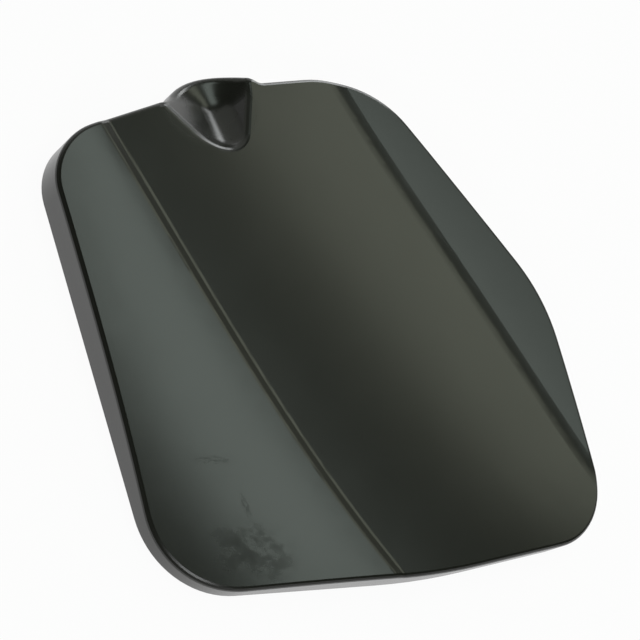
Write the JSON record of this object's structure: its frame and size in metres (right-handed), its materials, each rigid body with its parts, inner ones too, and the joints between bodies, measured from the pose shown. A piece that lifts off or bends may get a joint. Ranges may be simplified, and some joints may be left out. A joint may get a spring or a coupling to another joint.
{
  "type": "fuel filler flap",
  "caption": "Black plastic fuel filler flap with a creased, crowned face, a deep skirt and a finger scoop, on a sprung hinge bracket.",
  "frame": {"origin": "middle of the hinge bracket's two screw holes, on the face that meets the car", "axes": "+X along the hinge, +Y from the hinge towards the finger scoop, +Z out of the car"},
  "size_m": [0.1784, 0.179, 0.0188],
  "materials": {
    "panel_plastic": "satin moulded",
    "bracket_steel": "zinc plated",
    "pin_steel": "turned",
    "spring_steel": "drawn wire",
    "buffer_rubber": "matt moulded"
  },
  "bodies": {
    "bracket": {"hinge_bracket": "bracket_steel", "hinge_pin": "pin_steel", "pin_clip": "pin_steel", "closing_spring": "spring_steel"},
    "flap": {"flap_panel": "panel_plastic", "buffer_left": "buffer_rubber", "buffer_right": "buffer_rubber"}
  },
  "joints": [
    {"name": "flap_swing", "type": "hinge", "parent": "bracket", "child": "flap", "pos_m": [0, -0.02, 0.00588], "axis": [1, 0, 0], "range_deg": [0, 95], "stiffness_Nm_per_rad": 0.03, "springref_deg": -45.84, "deforming": ["closing_spring"]}
  ]
}
